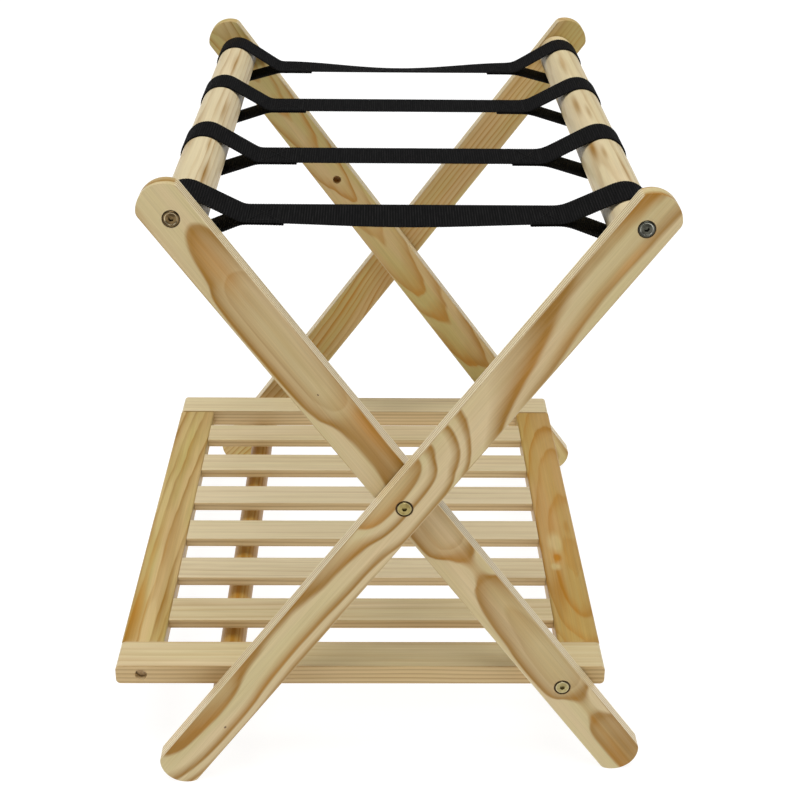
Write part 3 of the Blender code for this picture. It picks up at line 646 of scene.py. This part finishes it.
def nylon():
    """Natural nylon, faintly mottled."""
    s = Shader("nylon")
    mottle = s.noise(s.stretch(s.place(), (700, 700, 700)), 2.0, 0.5)
    tone = s.mix(mottle, (0.74, 0.73, 0.68), (0.66, 0.65, 0.60))
    return s.finish(tone, s.remap(mottle, 0.3, 0.7, 0.4, 0.5), s.bump(mottle, 0.1, 0.0002))


RAIL_BOLT_BEVEL = 0.0047        # radii of the edges that get a painted highlight ring
JOINT_BOLT_RIM = 0.0055
# each kind's plating, tarnish and painted highlight colour, the radius of that highlight ring, and its
# roughness
BOLTS = {
    "rail_bolt_inner": (
        (0.200, 0.135, 0.060), (0.075, 0.048, 0.022), (0.95, 0.80, 0.52), RAIL_BOLT_BEVEL, 0.26),
    "rail_bolt_outer": (
        (0.100, 0.100, 0.080), (0.040, 0.040, 0.032), (0.80, 0.80, 0.70), RAIL_BOLT_BEVEL, 0.24),
    "pivot_bolt": (
        (0.400, 0.325, 0.130), (0.270, 0.205, 0.070), (0.62, 0.53, 0.27), JOINT_BOLT_RIM, 0.34),
    "shelf_bolt": (
        (0.460, 0.395, 0.200), (0.330, 0.270, 0.120), (0.70, 0.62, 0.40), JOINT_BOLT_RIM, 0.36),
}


def dress_fittings():
    """Bolts, inserts, pins, dowels and washers, each kind in its own finish."""
    steel = metal("zinc_steel", (0.62, 0.60, 0.52), (0.50, 0.49, 0.44), 0.35)
    beech = plain_wood("beech", (0.74, 0.57, 0.34), (0.60, 0.42, 0.22))
    plastic = nylon()
    finishes = {"insert": steel, "pin": beech, "dowel": beech, "washer": plastic, "spacer": plastic}
    for node in NODES:
        kind = node.rsplit("_", 1)[0]
        if kind in BOLTS:
            dress(node, bolt_metal(node, *BOLTS[kind]))
        for part, finish in finishes.items():
            if f"_{part}_" in node:
                dress(node, finish)


# ---------------------------------------------------------------- webbing straps
WEB_THICKNESS = 0.0015
WEB_GAP = 0.0001            # between the webbing and what it lies on
RIB_PITCH = 0.0021
RIB_HEIGHT = 0.00030
RIB_SHARPNESS = 0.7         # below 1 widens the ribs and narrows the grooves between them
ROWS_PER_RIB = 4
SELVEDGE = 0.0012           # how far in from its edges the webbing thins
SELVEDGE_ROUND = 0.0003     # how far in it is down to this share of its thickness
SELVEDGE_THIN = 0.62
END_YARN_PITCH = 0.0011     # between the yarns that run along it
YARN_GRAIN = (2600.0, 900.0)
# blots a metre across and along, of the patches in the painted highlight on the rib crests
GLEAM_PATCH_GRAIN = (60.0, 420.0)

# by side, -1 the left and 1 the right
SPLITS = {-1: 0.127, 1: 0.1225}         # from a strap's middle to where it parts round a rail
SOFTENING = {-1: 0.0025, 1: 0.0045}     # of the bend where it parts
TURN_STEPS = 40                         # round a rail
BELOW_RAIL_AXIS = 0.005
STRAP_LEVEL = RAIL_LEFT.z - BELOW_RAIL_AXIS
STRAP_MIDDLE = (RAIL_LEFT.x + RAIL_RIGHT.x) / 2

THREAD_RADIUS = 0.00035
THREAD_SIDES = 6
THREAD_PROUD = 0.3          # share of its radius that a thread's middle stands above the webbing
STITCH_PITCH = 0.0034
STITCH_LENGTH = 0.0027
STITCH_SWELL = ((0.0, 0.35), (0.2, 0.95), (0.8, 0.95), (1.0, 0.35))     # (along, share of the radius)
SEAM_MARGIN = 0.004

# each strap: how far it lies towards the back of its even place, how far it is pulled above
# the common level, how far its near and far edges hang in the middle, and how far from the
# middle its two ends are sewn down
STRAPS = {
    1: {"slide": -0.0040, "lift": 0.0040, "hang": (0.0030, 0.0), "sewn": {-1: 0.0945, 1: 0.095}},
    2: {"slide": -0.0025, "lift": 0.0010, "hang": (0.0, 0.0), "sewn": {-1: 0.0925, 1: 0.094}},
    3: {"slide": 0.0, "lift": 0.0010, "hang": (0.0, 0.0), "sewn": {-1: 0.0915, 1: 0.092}},
    4: {"slide": 0.0, "lift": -0.0010, "hang": (0.0, 0.007), "sewn": {-1: 0.0925, 1: 0.093}},
}


def tangent_angle(point, centre, radius, turn):
    """Where on a circle the straight line from a point touches it; turn picks one of two lines."""
    away = Vector(point) - Vector(centre)
    return math.atan2(away.y, away.x) + turn * math.acos(radius / away.length)


def half_route(side, level, sewn):
    """The webbing's middle line in X and Z, from its sewn end round one rail to its middle."""
    centre = (-abs(RAIL_RIGHT.x - STRAP_MIDDLE), RAIL_LEFT.z)
    snug = RAIL_RADIUS + WEB_THICKNESS / 2 + WEB_GAP
    # softening draws the bend in, so the bend starts wider by as much
    radius = snug * math.exp(0.5 * (SOFTENING[side] / snug) ** 2)
    lower = level - WEB_THICKNESS - WEB_GAP
    part = (-SPLITS[side], lower)
    crest = (-SPLITS[side], level)
    start = tangent_angle(part, centre, radius, -1)
    stop = tangent_angle(crest, centre, radius, 1)
    sweep = (start - stop) % (2 * math.pi)
    points = [(-sewn, lower), part]
    for step in range(TURN_STEPS + 1):
        angle = start - sweep * step / TURN_STEPS
        points.append((centre[0] + radius * math.cos(angle), centre[1] + radius * math.sin(angle)))
    points += [crest, (0.0, level)]
    return np.array(points) * (-side, 1) + (STRAP_MIDDLE, 0)


def soften(even, step, spread):
    """Evenly spaced points, rounded off over about the spread, with their ends kept."""
    reach = int(3 * spread / step)
    kernel = np.exp(-0.5 * (np.arange(-reach, reach + 1) * step / spread) ** 2)
    kernel /= kernel.sum()
    ahead = 2 * even[0] - even[reach:0:-1]
    behind = 2 * even[-1] - even[-2:-reach - 2:-1]
    padded = np.vstack([ahead, even, behind])
    return np.column_stack([np.convolve(padded[:, axis], kernel, "valid") for axis in (0, 1)])


def route(level, sewn):
    """Even points along the whole strap, its bends softened, with their distances along it."""
    left = half_route(-1, level, sewn[-1])
    right = half_route(1, level, sewn[1])[::-1]
    points = np.vstack([left, right[1:]])
    lengths = np.r_[0, np.cumsum(np.hypot(*np.diff(points, axis=0).T))]
    count = int(lengths[-1] / RIB_PITCH) * ROWS_PER_RIB
    at = np.linspace(0, lengths[-1], count + 1)
    even = np.column_stack([np.interp(at, lengths, points[:, axis]) for axis in (0, 1)])
    step = at[1]
    on_left = even[:, :1] < STRAP_MIDDLE
    return np.where(on_left, soften(even, step, SOFTENING[-1]), soften(even, step, SOFTENING[1])), at


def section(width):
    """The webbing's cross-section, as (across, up) pairs, listed round its edge."""
    half = width / 2
    thick = WEB_THICKNESS / 2
    flat = [0, half / 2, half - 2.5 * SELVEDGE, half - SELVEDGE]
    across = [-x for x in reversed(flat[1:])] + flat
    rounded = (half - SELVEDGE_ROUND, thick * SELVEDGE_THIN)
    over = [(x, thick) for x in across]
    right = [rounded, (half, 0), (rounded[0], -rounded[1])]
    under = [(x, -thick) for x in reversed(across)]
    left = [(-rounded[0], -rounded[1]), (-half, 0), (-rounded[0], rounded[1])]
    return over + right + under + left


def webbing_noise(shader, u, v, grain, slice_at):
    """Noise in the webbing's own surface, with that many blots a metre across and along it."""
    across = shader.math("MULTIPLY", u, grain[0])
    along = shader.math("MULTIPLY", v, grain[1])
    return shader.noise(shader.join(across, along, slice_at), 2.0, 0.6)


def webbing_material():
    """Black webbing with a painted highlight on its rib crests: u runs across it and v along it, both
    in metres.
    """
    s = Shader("webbing")
    u, v, _ = s.split(s.node("TexCoord").outputs["UV"])
    yarn = webbing_noise(s, u, v, YARN_GRAIN, 0.0)
    gleam_patches = webbing_noise(s, u, v, GLEAM_PATCH_GRAIN, 3.0)
    ends = s.math("SINE", s.math("MULTIPLY", u, 2 * math.pi / END_YARN_PITCH))
    # painted highlight: the rib crests are coloured lighter, in patches, for the sheen they catch
    crest = s.math("ABSOLUTE", s.math("SINE", s.math("MULTIPLY", v, math.pi / RIB_PITCH)))
    light = s.math("MULTIPLY", s.math("POWER", crest, 6.0), s.remap(gleam_patches, 0.35, 0.65, 0.35, 1.0))
    dark = s.mix(s.remap(yarn, 0.3, 0.75), (0.0015, 0.0015, 0.0017), (0.0045, 0.0045, 0.0046))
    tone = s.mix(light, dark, (0.019, 0.0185, 0.0185))
    height = s.math("MULTIPLY_ADD", ends, 0.25, yarn)
    fixed = {"Sheen_Weight": 0.01, "Sheen_Roughness": 0.4, "Specular_IOR_Level": 0.06}
    return s.finish(tone, s.remap(yarn, 0.3, 0.7, 0.62, 0.85), s.bump(height, 0.6, 0.00025), **fixed)


def thread_material():
    """Black twisted sewing thread."""
    s = Shader("thread")
    twist = s.noise(s.stretch(s.place(), (4000, 4000, 4000)), 2.0, 0.5)
    tone = s.mix(twist, (0.004, 0.004, 0.004), (0.016, 0.016, 0.0155))
    return s.finish(tone, s.remap(twist, 0.3, 0.7, 0.45, 0.6), s.bump(twist, 0.3, 0.0002),
                    Specular_IOR_Level=0.15)


class Strap:
    """One strap's ribbon: where each of its points lies, from its place across and along."""

    def __init__(self, number):
        look = STRAPS[number]
        self.name = f"strap_{number}"
        self.width = size(self.name).y
        self.place = middle(self.name).y + look["slide"]
        self.near, self.far = look["hang"]
        self.sewn = look["sewn"]
        self.level = STRAP_LEVEL + look["lift"]
        self.points, self.at = route(self.level, self.sewn)
        ahead = np.gradient(self.points, axis=0)
        ahead /= np.linalg.norm(ahead, axis=1)[:, None]
        self.up = np.column_stack([-ahead[:, 1], ahead[:, 0]])
        out = np.clip(np.abs(self.points[:, 0] - STRAP_MIDDLE) / SPLITS[-1], 0, 1)
        self.hang = np.cos(out * math.pi / 2) ** 2

    def point(self, row, across, up):
        """A point at a row of the route, off to the side of its middle line and above it."""
        share = across / self.width + 0.5
        drop = self.hang[row] * (self.near * (1 - share) + self.far * share)
        x, z = self.points[row] + self.up[row] * up
        return Vector((x, self.place + across, z - drop))


def finish_soft(made, name, material, cad):
    """Links a mesh that spans both frames, and hides the imported part it stands in for."""
    mesh = bpy.data.meshes.new(name)
    made.to_mesh(mesh)
    made.free()
    mesh.materials.append(material)
    piece = bpy.data.objects.new(name, mesh)
    bpy.context.scene.collection.objects.link(piece)
    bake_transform(piece)
    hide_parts(cad)
    return piece


def add_ribbon(strap, material, stitching):
    """The ribbed webbing itself; the stitching passed in is not used."""
    ridge = np.abs(np.sin(math.pi * strap.at / RIB_PITCH)) ** RIB_SHARPNESS
    outline = section(strap.width)
    made = bmesh.new()
    uv = made.loops.layers.uv.new("UVMap")
    rows = []
    for row, height in enumerate(ridge):
        sink = RIB_HEIGHT * (1 - height)
        ring = []
        for across, up in outline:
            inward = sink if abs(across) > strap.width / 2 - SELVEDGE / 2 else 0.0
            up -= math.copysign(sink, up) if up else 0.0
            ring.append(made.verts.new(strap.point(row, across - math.copysign(inward, across), up)))
        rows.append(ring)
    count = len(outline)
    for row, (first, second) in enumerate(zip(rows, rows[1:])):
        for side in range(count):
            after = (side + 1) % count
            face = made.faces.new((first[side], first[after], second[after], second[side]))
            face.smooth = True
            places = ((side, row), (after, row), (after, row + 1), (side, row + 1))
            for loop, (column, line) in zip(face.loops, places):
                loop[uv].uv = (outline[column][0], strap.at[line])
    made.faces.new(rows[0])
    made.faces.new(list(reversed(rows[-1])))
    bmesh.ops.recalc_face_normals(made, faces=made.faces)
    ribbon = finish_soft(made, f"webbing_{strap.name}", material, strap.name)


def add_stitch(made, first, last):
    """A short plump thread from one point to the other."""
    along = last - first
    turn = along.to_track_quat("Z", "Y").to_matrix()
    rings = []
    for share, fat in STITCH_SWELL:
        ring = []
        for corner in range(THREAD_SIDES):
            angle = corner * 2 * math.pi / THREAD_SIDES
            around = Vector((math.cos(angle), math.sin(angle), 0)) * THREAD_RADIUS * fat
            ring.append(made.verts.new(first + along * share + turn @ around))
        rings.append(ring)
    for one, two in zip(rings, rings[1:]):
        for corner in range(THREAD_SIDES):
            after = (corner + 1) % THREAD_SIDES
            made.faces.new((one[corner], one[after], two[after], two[corner])).smooth = True
    made.faces.new(reversed(rings[0]))
    made.faces.new(rings[-1])


def seam_point(strap, side, spot, face):
    """A point on top of the upper layer, or under the lower one, at a distance from the middle.

    The route's own up turns over on the lower layer, so both lie on its outer face.
    """
    out, across = spot
    x = STRAP_MIDDLE + side * out
    between = strap.level - (WEB_THICKNESS + WEB_GAP) / 2
    above = face * (strap.points[:, 1] - between)
    rows = np.flatnonzero((face * strap.up[:, 1] > 0.8) & (above > 0) & (above < 2 * WEB_THICKNESS))
    row = rows[np.argmin(np.abs(strap.points[rows, 0] - x))]
    return strap.point(row, across, WEB_THICKNESS / 2 + THREAD_RADIUS * THREAD_PROUD)


def add_stitching(strap, material):
    """A sewn square with a cross in it at each end, over the webbing and under it."""
    made = bmesh.new()
    half = strap.width / 2 - SEAM_MARGIN
    for side in (-1, 1):
        inner = strap.sewn[side] + SEAM_MARGIN
        outer = SPLITS[side] - SEAM_MARGIN
        corners = [Vector(c) for c in ((inner, -half), (outer, -half), (outer, half), (inner, half))]
        square = list(zip(corners, corners[1:] + corners[:1]))
        cross = [(corners[0], corners[2]), (corners[1], corners[3])]
        for line_from, line_to in square + cross:
            count = round((line_to - line_from).length / STITCH_PITCH)
            for number in range(count):
                for face in (1, -1):
                    ends = []
                    for reach in (-0.5, 0.5):
                        share = (number + 0.5 + reach * STITCH_LENGTH / STITCH_PITCH) / count
                        ends.append(seam_point(strap, side, line_from.lerp(line_to, share), face))
                    add_stitch(made, *ends)
    bmesh.ops.recalc_face_normals(made, faces=made.faces)
    return finish_soft(made, f"stitching_{strap.name}", material, strap.name)


def add_straps():
    """The four straps, each with its stitching."""
    webbing = webbing_material()
    thread = thread_material()
    for number in STRAPS:
        strap = Strap(number)
        add_ribbon(strap, webbing, add_stitching(strap, thread))


# ---------------------------------------------------------------- build
add_camera()
add_floor()
add_light()
dress_outer_leg_front()
dress_inner_leg_front()
dress_back_legs()
dress_round_rails()
dress_shelf_sides()
dress_crosswise_boards()
dress_fittings()
add_straps()
